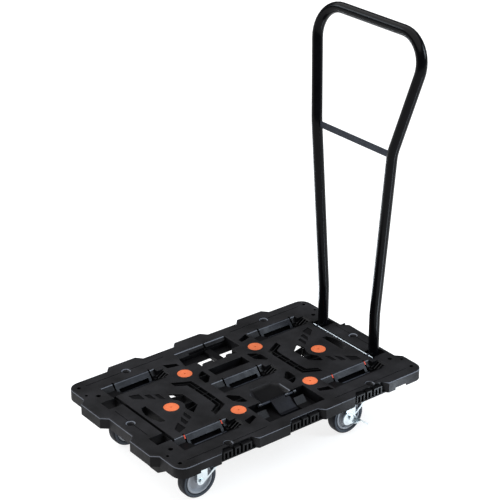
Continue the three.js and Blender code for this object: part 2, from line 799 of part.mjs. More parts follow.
function buildSwivelRace() {
  const { raceRadius, raceTop, raceDepth } = caster
  const bore = 5 + gap
  const foot = raceTop - raceDepth
  return turned(
    [[bore, raceTop], [raceRadius - 3, raceTop], [raceRadius, raceTop - 3], [raceRadius, raceTop - 6],
      [raceRadius - 4, foot], [bore, foot]],
    'z', 20)
}

function buildFork() {
  const { crownTop, crownThickness, cheekInner, cheekThickness, raceTop } = caster
  const under = crownTop - crownThickness
  const outer = cheekInner + cheekThickness
  const crown = block([-24, 26], [-outer, outer], [under, crownTop])
  const kingpin = rod(5, [crownTop - 1, raceTop - 1], 'z', [0, 0], 16)
  const cheek = [
    [26, crownTop],
    [-24, crownTop],
    [-trail - 12, axleHeight + 30],
    ...arcPoints(-trail, axleHeight, 12, 180, 322, 5),
    [26, under - 6],
  ]
  const window = [[-14, under - 6], [12, under - 6], [-18, axleHeight + 22]]
  const cheekAt = (y0) => prismY(cheek, y0, y0 + cheekThickness).subtract(
    prismY(window, y0 - 1, y0 + cheekThickness + 1))
  const bore = rod(caster.axleRadius + gap, [-outer - 1, outer + 1], 'y', [-trail, axleHeight], 12)
  return joined([crown, kingpin, cheekAt(-outer), cheekAt(cheekInner)]).subtract(bore)
}

function buildAxle(hasPedal) {
  const outer = caster.cheekInner + caster.cheekThickness + gap
  const pedalRoom = hasPedal ? 2.5 + gap : 0
  const centre = [-trail, axleHeight]
  return joined([
    rod(caster.axleRadius, [-outer - pedalRoom - 1, outer + 1], 'y', centre, 12),
    rod(7, [-outer - pedalRoom - 5, -outer - pedalRoom], 'y', centre, 6),
    rod(7, [outer, outer + 5.5], 'y', centre, 6),
  ])
}

function buildHub() {
  const bore = caster.axleRadius + gap
  const rimR = 37.6
  const [w, boss] = [13, 15.9]
  const profile = [
    [bore, -boss], [11, -boss], [12, -7], [29, -6], [34, -w], [rimR, -w],
    [rimR, w], [34, w], [29, 6], [12, 7], [11, boss], [bore, boss],
  ]
  return turned(profile, 'y', 24).translate([-trail, 0, axleHeight])
}

function buildTyre() {
  const half = wheelWidth / 2
  const inner = 37.9
  const profile = [
    [inner, -half + 1], [wheelRadius - 5, -half], [wheelRadius, -half + 6],
    [wheelRadius, half - 6], [wheelRadius - 5, half], [inner, half - 1],
  ]
  return turned(profile, 'y', 28).translate([-trail, 0, axleHeight])
}

// The pedal hangs on the axle outside the fork and is trodden down on its outer wing.
function buildBrakePedal() {
  const thickness = 2.5
  const y1 = -(caster.cheekInner + caster.cheekThickness + gap)
  const y0 = y1 - thickness
  const [cx, cz] = [-trail, axleHeight]
  const side = [
    ...arcPoints(cx - 5, cz - 2, 19, 112, 262, 9),
    [cx + 12, cz - 20],
    [cx + 22, cz - 8],
    [cx + 8, cz + 14],
  ]
  const plate = prismY(side, y0, y1)
  const wing = [
    [cx + 9, cz - 20],
    [cx + 22, cz - 8],
    [cx + 41, cz - 23],
    [cx + 33, cz - 32],
  ]
  const slope = prismY(wing, y0 - 24, y1)
  const keep = prismZ([[cx + 6, y1], [cx + 6, y0], [cx + 27, y0 - 24], [cx + 43, y0 - 24], [cx + 43, y1 - 9],
    [cx + 24, y1]], cz - 60, cz + 60)
  const under = prismY([[cx + 8, cz - 24], [cx + 9, cz - 23], [cx + 20.5, cz - 11], [cx + 40, cz - 26.5],
    [cx + 33, cz - 35]], y0 - 30, y0)
  const bore = rod(caster.axleRadius + gap, [y0 - 1, y1 + 1], 'y', [cx, cz], 12)
  return joined([plate, slope.intersect(keep).subtract(under)]).subtract(bore)
}

// ---------------------------------------------------------------- assembly

const group = new THREE.Group()
const deckFrame = new THREE.Group()
deckFrame.position.set(0, -tabDepth / 2, deckTop)
group.add(deckFrame)

deckFrame.add(mesh('deck', buildDeck(), deckPlastic()))

for (const [place, [x, y]] of Object.entries(discs)) {
  const disc = mesh(`grip_disc_${place}`, buildDisc(), orangePlastic())
  disc.position.set(x, y, 0)
  deckFrame.add(disc)
}

for (const [place, [x, y]] of Object.entries(stops)) {
  const seat = new THREE.Group()
  seat.position.set(x, y, 0)
  seat.add(mesh(`flip_stop_${place}`, buildFlipStop(), stopPlastic()))
  seat.add(mesh(`stop_pin_${place}`, buildStopPin(), zinc()))
  if (place.endsWith('near')) {
    for (const side of [-1, 1]) {
      const end = side < 0 ? 'a' : 'b'
      const catchPiece = mesh(`stop_catch_${place}_${end}`, buildStopCatch(), orangePlastic())
      catchPiece.position.set((side * (stop.halfFlap + stop.halfSlot)) / 2, 0, 0)
      seat.add(catchPiece)
    }
  }
  deckFrame.add(seat)
}

deckFrame.add(mesh('link_tongue', buildLinkTongue(), stopPlastic()))
deckFrame.add(mesh('link_pin', buildLinkPin(), zinc()))

deckFrame.add(mesh('hinge_rod', buildHingeRod(), zinc()))
deckFrame.add(mesh('handle_tube', buildHandleTube(), blackPaint()))
deckFrame.add(mesh('handle_crossbar', buildCrossbar(), darkPaint()))
for (const [place, side] of [['near', -1], ['far', 1]]) {
  const ear = mesh(`hinge_ear_${place}`, buildHingeEar(), darkPaint())
  ear.position.y = side * legY
  deckFrame.add(ear)
}

for (const [end, signX] of [['front', -1], ['rear', 1]]) {
  for (const [side, signY] of [['near', -1], ['far', 1]]) {
    const place = `${end}_${side}`
    const hasPedal = end === 'rear'
    const swivel = new THREE.Group()
    swivel.position.set(signX * swivelX, signY * swivelY, 0)
    swivel.add(mesh(`caster_plate_${place}`, buildCasterPlate(), zinc()))
    swivel.add(mesh(`swivel_race_${place}`, buildSwivelRace(), zinc()))
    swivel.add(mesh(`fork_${place}`, buildFork(), zinc()))
    swivel.add(mesh(`axle_${place}`, buildAxle(hasPedal), zinc()))
    swivel.add(mesh(`wheel_hub_${place}`, buildHub(), hubPlastic()))
    swivel.add(mesh(`tyre_${place}`, buildTyre(), tyreRubber()))
    if (hasPedal) swivel.add(mesh(`brake_pedal_${place}`, buildBrakePedal(), zinc()))
    deckFrame.add(swivel)
  }
}

export default group
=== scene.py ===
"""A folding platform cart on a pale studio floor. Metres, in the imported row's own frame."""

import json
import math

import bmesh
import bpy
import numpy as np
from mathutils import Euler, Matrix, Vector
from mathutils.geometry import delaunay_2d_cdt

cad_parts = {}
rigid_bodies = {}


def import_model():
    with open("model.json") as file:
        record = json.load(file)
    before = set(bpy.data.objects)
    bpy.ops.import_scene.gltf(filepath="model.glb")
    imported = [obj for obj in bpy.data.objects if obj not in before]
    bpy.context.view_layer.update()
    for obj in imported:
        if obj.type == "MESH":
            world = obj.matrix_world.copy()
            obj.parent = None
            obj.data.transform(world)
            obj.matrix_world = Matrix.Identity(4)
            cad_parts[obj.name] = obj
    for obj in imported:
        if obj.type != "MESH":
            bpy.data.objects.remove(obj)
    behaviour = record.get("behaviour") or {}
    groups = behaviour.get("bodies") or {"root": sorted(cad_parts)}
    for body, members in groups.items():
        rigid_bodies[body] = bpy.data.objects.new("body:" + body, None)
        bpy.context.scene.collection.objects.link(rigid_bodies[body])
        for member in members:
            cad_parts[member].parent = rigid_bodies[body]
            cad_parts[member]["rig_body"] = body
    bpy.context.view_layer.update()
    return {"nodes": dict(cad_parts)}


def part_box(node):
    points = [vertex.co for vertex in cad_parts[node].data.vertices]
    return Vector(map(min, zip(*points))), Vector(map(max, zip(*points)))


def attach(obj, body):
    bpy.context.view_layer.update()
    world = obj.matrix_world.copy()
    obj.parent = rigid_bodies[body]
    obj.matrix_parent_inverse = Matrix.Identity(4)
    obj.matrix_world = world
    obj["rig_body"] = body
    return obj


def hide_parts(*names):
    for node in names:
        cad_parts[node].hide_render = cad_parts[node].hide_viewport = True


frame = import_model()

MM = 0.001
NODES = frame["nodes"]

# ------------------------------------------------------------------ driving values

deck_top = 165 * MM
deck_y = -8.5 * MM  # the tabs stand out on one side only, so the deck proper lies off the row's middle
half_length = 390 * MM
skirt_depth = 30 * MM
shortest_groove = 230 * MM
longest_groove = 300 * MM
widest_neck = 12 * MM

outer_round = 3.2 * MM
groove_round = 1.2 * MM  # for the rim of each hinge groove and the pockets at its ends
inner_round = 0.9 * MM

tube_radius = 14.3 * MM
tube_wall = 2 * MM
leg_x = 341.1 * MM
leg_y = 101.8 * MM

PLACES = ("front_near", "front_far", "rear_near", "rear_far")
STOPS = ("front_far", "rear_far", "centre", "front_near", "rear_near")
BAYS = (-210, 0, 210)  # places along X, in millimetres
DISCS = ("front_far", "rear_far", "front_near", "rear_near", "front_middle", "rear_middle")


# ------------------------------------------------------------------ camera, light and floor

def make_camera():
    """A long lens at the height and angle that the cart is shown from."""
    data = bpy.data.cameras.new("camera")
    data.lens = 117.305
    data.sensor_width = 36
    data.clip_end = 60
    camera = bpy.data.objects.new("camera", data)
    bpy.context.scene.collection.objects.link(camera)
    camera.location = (-2.21983, -2.85432, 2.26706)
    camera.rotation_euler = Euler((math.radians(64.2358), 0, math.radians(-38.0703)))
    bpy.context.scene.camera = camera


def area_light(name, place, width, height, power):
    """A cool rectangular light, aimed at the cart and hidden from the camera."""
    data = bpy.data.lights.new(name, "AREA")
    data.shape = "RECTANGLE"
    data.size = width
    data.size_y = height
    data.energy = power
    data.color = (0.8, 0.9, 1)
    light = bpy.data.objects.new(name, data)
    bpy.context.scene.collection.objects.link(light)
    light.location = place
    light.rotation_euler = (Vector((0, 0, 0.3)) - Vector(place)).to_track_quat("-Z", "Y").to_euler()
    light.visible_camera = False
    return light


def make_studio():
    """A pale floor under a wide overhead light, two side boxes and two floor strips."""
    scene = bpy.context.scene
    world = bpy.data.worlds.new("studio")
    world.use_nodes = True
    background = world.node_tree.nodes["Background"]
    background.inputs["Color"].default_value = (0.9, 0.95, 1, 1)
    background.inputs["Strength"].default_value = 0.1
    scene.world = world
    scene.view_settings.view_transform = "Standard"

    overhead = bpy.data.lights.new("overhead", "SUN")
    overhead.energy = 4.6
    overhead.angle = math.radians(100)
    light = bpy.data.objects.new("overhead", overhead)
    scene.collection.objects.link(light)
    light.rotation_euler = (math.radians(-12), math.radians(-14), 0)
    area_light("front_box", (2.6, -2.6, 2.6), 1.7, 1.7, 150)
    area_light("back_box", (-2.2, 3.4, 2.7), 1.3, 1.3, 40)
    # Two strips on the floor, which face up, draw the long highlights down the handle's tube.
    for name, x, y, turn in (("right_strip", 0.56, -1.2, 10), ("back_strip", 0.18, 1.3, 7)):
        strip = area_light(name, (x, y, 4 * MM), 0.13, 1.7, 12)
        strip.rotation_euler = (math.pi, 0, math.radians(turn))

    bm = bmesh.new()
    bmesh.ops.create_grid(bm, x_segments=1, y_segments=1, size=14)
    mesh = bpy.data.meshes.new("floor")
    bm.to_mesh(mesh)
    bm.free()
    floor = bpy.data.objects.new("floor", mesh)
    scene.collection.objects.link(floor)
    white = bpy.data.materials.new("floor_white")
    white.use_nodes = True
    shader = white.node_tree.nodes["Principled BSDF"]
    shader.inputs["Base Color"].default_value = (0.3, 0.3, 0.3, 1)
    shader.inputs["Emission Color"].default_value = (1, 1, 1, 1)
    shader.inputs["Emission Strength"].default_value = 0.82
    shader.inputs["Roughness"].default_value = 0.9
    shader.inputs["Specular IOR Level"].default_value = 0.1
    mesh.materials.append(white)


make_camera()
make_studio()

# ------------------------------------------------------------------ materials


class Look:
    """A procedural material under construction: one Principled shader and the nodes that feed it."""

    def __init__(self, name, color, roughness, metallic=0.0, specular=0.5):
        self.material = bpy.data.materials.new(name)
        self.material.use_nodes = True
        self.tree = self.material.node_tree
        self.shader = self.tree.nodes["Principled BSDF"]
        self.color = color
        self.shader.inputs["Base Color"].default_value = (*color, 1)
        self.shader.inputs["Roughness"].default_value = roughness
        self.shader.inputs["Metallic"].default_value = metallic
        self.shader.inputs["Specular IOR Level"].default_value = specular
        self.place = self.node("ShaderNodeTexCoord").outputs["Object"]
        self.normal = None

    def node(self, kind, **settings):
        made = self.tree.nodes.new(kind)
        for key, value in settings.items():
            setattr(made, key, value)
        return made

    def link(self, output, socket):
        self.tree.links.new(output, socket)

    def soft_edges(self, radius):
        """Rounds what light sees of the edges that are too fine to round in the mesh."""
        bevel = self.node("ShaderNodeBevel", samples=4)
        bevel.inputs["Radius"].default_value = radius
        self.normal = bevel.outputs["Normal"]
        self.link(self.normal, self.shader.inputs["Normal"])
        return self

    def noise(self, scale, detail=4.0, stretch=(1, 1, 1)):
        mapping = self.node("ShaderNodeMapping")
        mapping.inputs["Scale"].default_value = stretch
        self.link(self.place, mapping.inputs["Vector"])
        noise = self.node("ShaderNodeTexNoise")
        noise.inputs["Scale"].default_value = scale
        noise.inputs["Detail"].default_value = detail
        self.link(mapping.outputs["Vector"], noise.inputs["Vector"])
        return noise.outputs["Fac"]

    def spread(self, value, low, high, start=0.3, end=0.7):
        ranged = self.node("ShaderNodeMapRange")
        for name, number in (("From Min", start), ("From Max", end), ("To Min", low), ("To Max", high)):
            ranged.inputs[name].default_value = number
        self.link(value, ranged.inputs["Value"])
        return ranged.outputs["Result"]

    def vary_color(self, value, dark, light, painted_light_color=None):
        """Runs the colour from dark to light as the value rises, and on to a painted light colour at one,
        where one is given.
        """
        ramp = self.node("ShaderNodeValToRGB")
        first, last = ramp.color_ramp.elements
        first.position = 0.3
        last.position = 0.7
        first.color = (*[c * dark for c in self.color], 1)
        last.color = (*[min(1, c * light) for c in self.color], 1)
        if painted_light_color:
            edge = ramp.color_ramp.elements.new(1)
            edge.color = (*painted_light_color, 1)
        self.link(value, ramp.inputs["Fac"])
        self.link(ramp.outputs["Color"], self.shader.inputs["Base Color"])
        return self

    def shade_recesses(self, value, reach, low, high):
        """Paints shade into holes and corners: darkens them and dulls their reflection by how little open sky
        they see, while open faces keep their full look.
        """
        open_sky = self.node("ShaderNodeAmbientOcclusion", samples=8)
        open_sky.inputs["Distance"].default_value = reach
        clear = self.shade_sunk_faces(open_sky.outputs["AO"], deck_top, 0.35 * MM, 0.5)
        self.link(self.spread(clear, low, high, 0.42, 0.86), self.shader.inputs["Specular IOR Level"])
        return self.combine("MULTIPLY", value, self.spread(clear, 0.03, 1, 0.35, 0.82))

    def combine(self, operation, first, second):
        made = self.node("ShaderNodeMath", operation=operation)
        self.link(first, made.inputs[0])
        self.link(second, made.inputs[1])
        return made.outputs["Value"]

    def heights(self):
        """The height of the spot that is shaded, and how far its face looks up."""
        place = self.node("ShaderNodeSeparateXYZ")
        self.link(self.place, place.inputs["Vector"])
        facing = self.node("ShaderNodeSeparateXYZ")
        self.link(self.node("ShaderNodeNewGeometry").outputs["Normal"], facing.inputs["Vector"])
        return place.outputs["Z"], facing.outputs["Z"]

    def shade_sunk_faces(self, value, level, drop, low):
        """Paints shade on upward faces that lie more than a drop below the level, by darkening them."""
        height, upward = self.heights()
        sunk = self.spread(height, 1, 0, level - 2 * drop, level - drop)
        both = self.combine("MULTIPLY", sunk, self.spread(upward, 0, 1, 0.85, 0.97))
        return self.combine("MULTIPLY", value, self.spread(both, 1, low, 0, 1))

    def rims(self, level, depth):
        """Picks out the widest rounded edges, which lie round the outside, as the mask for a painted
        highlight along them.
        """
        height, upward = self.heights()
        below_top = self.spread(height, 1, 0, level - 0.36 * depth, level - 0.28 * depth)
        above_foot = self.spread(height, 0, 1, level - depth, level - 0.9 * depth)
        off_wall = self.spread(upward, 0, 1, 0.04, 0.3)
        off_flat = self.spread(upward, 1, 0, 0.8, 0.97)
        band = self.combine("MULTIPLY", below_top, above_foot)
        return self.combine("MULTIPLY", band, self.combine("MULTIPLY", off_wall, off_flat))

    def vary_roughness(self, value, low, high):
        self.link(self.spread(value, low, high), self.shader.inputs["Roughness"])
        return self

    def bump(self, value, depth, strength=1.0):
        bump = self.node("ShaderNodeBump")
        bump.inputs["Distance"].default_value = depth
        bump.inputs["Strength"].default_value = strength
        self.link(value, bump.inputs["Height"])
        if self.normal:
            self.link(self.normal, bump.inputs["Normal"])
        self.normal = bump.outputs["Normal"]
        self.link(self.normal, self.shader.inputs["Normal"])
        return self


def moulded(name, color, roughness, specular, grain, depth):
    """Coloured plastic with a fine moulded grain."""
    look = Look(name, color, roughness, specular=specular)
    look.soft_edges(0.8 * MM)
    look.vary_color(look.noise(14, 6), 0.86, 1.16)
    look.vary_roughness(look.noise(40, 5), roughness - 0.06, roughness + 0.08)
    look.bump(look.noise(grain, 3), depth)
    return look.material


def moulded_black(name, color, roughness, specular, reach, painted_light_color):
    """Grained black plastic, with painted shade that darkens and dulls its holes and corners, and a painted
    highlight that makes its rims paler.
    """
    look = Look(name, color, roughness, specular=specular)
    look.soft_edges(0.8 * MM)
    # Painted shade in holes and corners over the moulded mottle, then a painted highlight along the rims in
    # the painted light colour.
    mottle_and_painted_shade = look.shade_recesses(look.noise(14, 6), reach, 0.02, specular)
    tone_with_painted_light = look.combine("MAXIMUM", mottle_and_painted_shade, look.rims(deck_top, outer_round))
    look.vary_color(tone_with_painted_light, 0.3, 1.16, painted_light_color)
    look.vary_roughness(look.noise(40, 5), roughness - 0.06, roughness + 0.08)
    look.bump(look.noise(1500, 3), 0.00006)
    return look.material


def painted(name, color, roughness):
    """Black or dark enamel with a faint orange-peel relief."""
    look = Look(name, color, roughness, specular=0.08)
    look.vary_color(look.noise(30, 4), 0.8, 1.2)
    look.vary_roughness(look.noise(90, 3), roughness, roughness + 0.08)
    look.bump(look.noise(420, 2), 0.00003)
    return look.material


def plated(name, color, roughness):
    """Zinc plate, mottled and a little uneven in its gloss."""
    look = Look(name, color, roughness, metallic=1.0)
    look.vary_color(look.noise(60, 5), 0.82, 1.08)
    look.vary_roughness(look.noise(220, 4), roughness, roughness + 0.16)
    look.bump(look.noise(900, 4), 0.00002)
    return look.material


def rubber(name, color, roughness, tone_with_painted_light):
    """Rubber whose flat sides are coloured paler than its tread, as painted light: the darker tread stands
    for the shade that it lies in.
    """
    look = Look(name, color, roughness, specular=0.15)
    across = look.node("ShaderNodeSeparateXYZ")
    look.link(look.node("ShaderNodeTexCoord").outputs["Normal"], across.inputs["Vector"])
    size = look.node("ShaderNodeMath", operation="ABSOLUTE")
    look.link(across.outputs["Y"], size.inputs[0])
    # The flat sides get the paler colour, painted light against the shaded tread.
    side = look.spread(size.outputs["Value"], 0, 1, 0.6, 0.95)
    look.vary_color(look.combine("MAXIMUM", look.noise(45, 6), side), 0.8, 1.2, tone_with_painted_light)
    look.vary_roughness(look.noise(120, 4), roughness - 0.1, roughness + 0.1)
    look.bump(look.noise(700, 5), 0.00008)
    return look.material


# The last colour of each is the painted highlight along the rims.
DECK = moulded_black("deck_plastic", (0.0105, 0.0103, 0.0115), 0.42, 0.085, 32 * MM, (0.1, 0.107, 0.125))
STOP = moulded_black("stop_plastic", (0.0085, 0.0095, 0.0135), 0.42, 0.12, 14 * MM, (0.05, 0.054, 0.066))
CATCH = moulded("catch_plastic", (0.5, 0.05, 0.02), 0.45, 0.2, 1100, 0.00003)
ROD = plated("rod_zinc", (0.38, 0.42, 0.45), 0.34)
ORANGE = moulded("orange_plastic", (0.47, 0.105, 0.036), 0.5, 0.2, 1100, 0.00003)
BLACK = painted("black_paint", (0.002, 0.002, 0.0026), 0.16)
DARK = painted("dark_paint", (0.022, 0.025, 0.033), 0.38)
ZINC = plated("zinc_plate", (0.74, 0.82, 0.86), 0.24)
HUB = moulded("hub_plastic", (0.27, 0.29, 0.32), 0.42, 0.25, 900, 0.00003)
# The last colour is the tyre's paler sides, painted light against the darker tread.
TYRE = rubber("tyre_rubber", (0.007, 0.0085, 0.012), 0.55, (0.05, 0.06, 0.075))

# ------------------------------------------------------------------ mesh tools


def piece_from(name, bm, replaced, material, smooth_angle=32, keep_sharp=False):
    """A finished piece that stands for a CAD node: it takes that node's body and the material given."""
    bmesh.ops.remove_doubles(bm, verts=bm.verts, dist=1e-7)
    if not keep_sharp:
        bmesh.ops.recalc_face_normals(bm, faces=bm.faces)
    mesh = bpy.data.meshes.new(name)
    bm.to_mesh(mesh)
    bm.free()
    imported = mesh.attributes.get("custom_normal")
    if imported:
        mesh.attributes.remove(imported)
    mesh.materials.append(material)
    marked = [keep_sharp and edge.use_edge_sharp for edge in mesh.edges]
    mesh.shade_smooth()
    mesh.set_sharp_from_angle(angle=math.radians(smooth_angle))
    for edge, sharp in zip(mesh.edges, marked):
        edge.use_edge_sharp = edge.use_edge_sharp or sharp
    piece = bpy.data.objects.new(name, mesh)
    bpy.context.scene.collection.objects.link(piece)
    weighted = piece.modifiers.new("weighted", "WEIGHTED_NORMAL")
    weighted.keep_sharp = True
    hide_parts(replaced)
    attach(piece, NODES[replaced]["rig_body"])
    return piece


def mesh_of(node):
    """A CAD node's mesh, welded, with every face set smooth."""
    bm = bmesh.new()
    bm.from_mesh(NODES[node].data)
    bmesh.ops.remove_doubles(bm, verts=bm.verts, dist=1e-6)
    for face in bm.faces:
        face.smooth = True
    return bm


def refine(node, material, width, segments=2, angle=25):
    """A copy of a CAD node with rounded edges."""
    bm = mesh_of(node)
    bmesh.ops.dissolve_limit(bm, angle_limit=math.radians(0.5), verts=bm.verts, edges=bm.edges)
    edges = [e for e in bm.edges if len(e.link_faces) == 2 and e.calc_face_angle(0) > math.radians(angle)]
    bmesh.ops.bevel(bm, geom=edges, offset=width, segments=segments, profile=0.5, affect="EDGES",
                    clamp_overlap=True, loop_slide=False)
    return piece_from(f"{node}_shell", bm, node, material, 30)


def revolve(bm, profile, centre, axis="Y", segments=96):
    """A closed profile of (radius, height) turned about an axis through centre."""
    turn = {"Z": Matrix.Identity(3), "Y": Matrix.Rotation(math.pi / 2, 3, "X")}[axis]
    rings = []
    for i in range(segments):
        angle = 2 * math.pi * i / segments
        ring = [bm.verts.new(Vector(centre) + turn @ Vector((r * math.cos(angle), r * math.sin(angle), h)))
                for r, h in profile]
        rings.append(ring)
    count = len(profile)
    for i in range(segments):
        a, b = rings[i], rings[(i + 1) % segments]
        for k in range(count):
            n = (k + 1) % count
            if profile[k][0] == 0 and profile[n][0] == 0:
                continue
            corners = [a[k], b[k], b[n], a[n]]
            if profile[k][0] == 0:
                corners = [a[k], b[n], a[n]]
            elif profile[n][0] == 0:
                corners = [a[k], b[k], a[n]]
            bm.faces.new(corners)


def sweep(bm, path, radius, sides=32, inner=None):
    """A round tube along a list of points, open to its bore where an inner radius is given."""
    frames = []
    across = None
    for i, point in enumerate(path):
        before = path[max(i - 1, 0)]
        after = path[min(i + 1, len(path) - 1)]
        tangent = (after - before).normalized()
        if across is None:
            across = tangent.orthogonal().normalized()
        across = (across - tangent * across.dot(tangent)).normalized()
        frames.append((point, across.copy(), tangent.cross(across)))

    def shell(r):
        angles = [2 * math.pi * k / sides for k in range(sides)]
        steps = [(r * math.cos(a), r * math.sin(a)) for a in angles]
        return [[bm.verts.new(p + u * c + v * d) for c, d in steps] for p, u, v in frames]

    outer = shell(radius)
    walls = [outer] + ([shell(inner)] if inner else [])
    for rings in walls:
        for a, b in zip(rings, rings[1:]):
            for k in range(sides):
                n = (k + 1) % sides
                bm.faces.new((a[k], a[n], b[n], b[k]))
    for end in (0, -1):
        if inner:
            for k in range(sides):
                n = (k + 1) % sides
                bm.faces.new((walls[0][end][k], walls[0][end][n], walls[1][end][n], walls[1][end][k]))
        else:
            bm.faces.new(outer[end])


def rounded_path(corners, radii, steps):
    """Points along a polyline whose inner corners are replaced by tangent arcs."""
    points = [corners[0]]
    for before, corner, after, radius in zip(corners, corners[1:], corners[2:], radii):
        into = (corner - before).normalized()
        out = (after - corner).normalized()
        turn = into.angle(out)
        start = corner - into * radius * math.tan(turn / 2)
        inward = (out - into * math.cos(turn)).normalized()
        centre = start + inward * radius
        for k in range(steps + 1):
            angle = turn * k / steps
            points.append(centre - inward * radius * math.cos(angle) + into * radius * math.sin(angle))
    points.append(corners[-1])
    return points


def prism(bm, outline, low, high, plane="XY"):
    """An outline of (u, v) points pushed from low to high across its plane."""
    place = {"XY": lambda u, v, w: (u, v, w), "XZ": lambda u, v, w: (u, w, v)}[plane]
    bottom = [bm.verts.new(place(u, v, low)) for u, v in outline]
    top = [bm.verts.new(place(u, v, high)) for u, v in outline]
    bm.faces.new(bottom)
    bm.faces.new(top)
    for i in range(len(outline)):
        n = (i + 1) % len(outline)
        bm.faces.new((bottom[i], bottom[n], top[n], top[i]))


def windowed_plate(bm, outline, window, low, high):
    """An outline of (x, z) points with a window in it, pushed from low to high along Y."""
    loops = (outline, window)
    flat = [Vector(point) for loop in loops for point in loop]
    edges = []
    for loop in loops:
        start = len(edges)
        edges += [(start + i, start + (i + 1) % len(loop)) for i in range(len(loop))]
    spots, _, faces, sources, _, _ = delaunay_2d_cdt(flat, edges, [], 1, 1e-7)
    centres = np.array([sum((spots[i] for i in face), Vector((0, 0))) / len(face) for face in faces])
    kept = enclosed(centres, [np.array(loop) for loop in loops])
    near, far = [[bm.verts.new((u, y, v)) for u, v in flat] for y in (low, high)]
    for face, keep in zip(faces, kept):
        if keep:
            for side in (near, far):
                bm.faces.new([side[sources[i][0]] for i in face])
    for a, b in edges:
        bm.faces.new((near[a], near[b], far[b], far[a]))


def soften(bm, width, segments=2, angle=30):
    """Rounds every edge that turns by more than the angle."""
    bmesh.ops.recalc_face_normals(bm, faces=bm.faces)
    edges = [e for e in bm.edges if len(e.link_faces) == 2 and e.calc_face_angle(0) > math.radians(angle)]
    bmesh.ops.bevel(bm, geom=edges, offset=width, segments=segments, profile=0.5, affect="EDGES",
                    clamp_overlap=True)


def hexagon(bm, centre, across, low, high):
    """A six-sided head or nut that lies along Y."""
    reach = across / math.sqrt(3)
    angles = [math.pi * k / 3 for k in range(6)]
    outline = [(centre.x + reach * math.cos(a), centre.z + reach * math.sin(a)) for a in angles]
    prism(bm, outline, low, high, "XZ")


# ------------------------------------------------------------------ deck

def walk_rims(bm, faces):
    """The rims of a set of faces. Each is a list of face corners that runs with the faces on its left."""
    inside = set(faces)
    corners = [loop for face in faces for loop in face.loops if loop.link_loop_radial_next.face not in inside]
    waiting = set(corners)
    rims = []
    for first in corners:
        if first not in waiting:
            continue
        rim = []
        corner = first
        while corner in waiting:
            waiting.discard(corner)
            rim.append(corner)
            corner = corner.link_loop_next
            while corner.link_loop_radial_next.face in inside:
                corner = corner.link_loop_radial_next.link_loop_next
        rims.append(rim)
    return rims


def inset_directions(points, close):
    """For each point of a rim, the step that moves both of its sides one unit to the left."""
    count = len(points)
    directions = []
    for i, point in enumerate(points):
        back = ahead = i
        while (point - points[back]).length < close and back > i - count:
            back -= 1
        while (points[ahead % count] - point).length < close and ahead < i + count:
            ahead += 1
        into = (point - points[back]).normalized()
        out = (points[ahead % count] - point).normalized()
        left_in, left_out = Vector((-into.y, into.x)), Vector((-out.y, out.x))
        spread = max(0.3, 1 + left_in.dot(left_out))
        directions.append((left_in + left_out) / spread)
    return directions


def enclosed(centres, rims):
    """For each centre, whether an odd number of the rims go round it."""
    odd = np.zeros(len(centres), bool)
    x, y = centres[:, 0], centres[:, 1]
    for rim in rims:
        ends = np.roll(rim, -1, axis=0)
        for (x0, y0), (x1, y1) in zip(rim, ends):
            if y0 != y1:
                crossing = x0 + (y - y0) * (x1 - x0) / (y1 - y0)
                odd ^= ((y0 > y) != (y1 > y)) & (x < crossing)
    return odd


def neck_limits(rims):
    """How wide each rim point may be rounded, where the load surface narrows between two openings."""
    starts = np.concatenate(rims)
    order = np.split(np.arange(len(starts)), np.cumsum([len(rim) for rim in rims])[:-1])
    after = np.concatenate([np.roll(part, -1) for part in order])
    before = np.concatenate([np.roll(part, 1) for part in order])
    along = starts[after] - starts
    length = np.linalg.norm(along, axis=1)
    along /= length[:, None]
    limits = np.full(len(starts), outer_round)
    for i, point in enumerate(starts):
        heading = along[i] + along[before[i]]
        left = np.array((-heading[1], heading[0]))
        travel = np.clip(((point - starts) * along).sum(axis=1), 0, length)
        across = starts + along * travel[:, None] - point
        distance = np.linalg.norm(across, axis=1)
        facing = (across @ left > 0) & (along @ heading < 0) & (distance > 1e-6)
        for k in np.flatnonzero(facing & (distance < widest_neck)):
            for end in (i, k, after[k]):
                limits[end] = min(limits[end], 0.3 * distance[k])
    return [limits[part] for part in order]


def rim_width(points):
    """The width of the rounded edge along a rim: the outline's, a hinge groove's or any other opening's."""
    reach = max((point - points[0]).length for point in points)
    if reach > half_length:
        return outer_round
    if shortest_groove < reach < longest_groove:
        return groove_round
    return inner_round


def rounded_edge(bm, verts, points, widths, level, steps):
    """Quarter-round rows of faces up from a lowered rim. Returns every row's points, from the foot up."""
    directions = inset_directions(points, 0.3 * MM)
    rings = [verts]
    for k in range(1, steps + 1):
        angle = math.pi / 2 * k / steps
        ring = []
        for v, point, direction, width in zip(verts, points, directions, widths):
            place = point + direction * width * (1 - math.cos(angle))
            height = level - (level - v.co.z) * (1 - math.sin(angle))
            ring.append(bm.verts.new((place.x, place.y, height)))
        rings.append(ring)
    for a, b in zip(rings, rings[1:]):
        for i in range(len(verts)):
            n = (i + 1) % len(verts)
            bm.faces.new((a[i], a[n], b[n], b[i]))
    return rings


def fill_between(bm, rings, level):
    """Flat faces over the region that an odd number of the rings go round."""
    flat = [v for ring in rings for v in ring]
    edges = []
    for ring in rings:
        start = len(edges)
        edges += [(start + i, start + (i + 1) % len(ring)) for i in range(len(ring))]
    spots, _, faces, sources, _, _ = delaunay_2d_cdt([v.co.xy for v in flat], edges, [], 1, 1e-7)
    centres = np.array([sum((spots[i] for i in face), Vector((0, 0))) / len(face) for face in faces])
    kept = enclosed(centres, [np.array([v.co.xy for v in ring]) for ring in rings])
    corners = []
    for spot, source in zip(spots, sources):
        corners.append(flat[source[0]] if source else bm.verts.new((*spot, level)))
    for face, keep in zip(faces, kept):
        if keep:
            bm.faces.new([corners[i] for i in face])


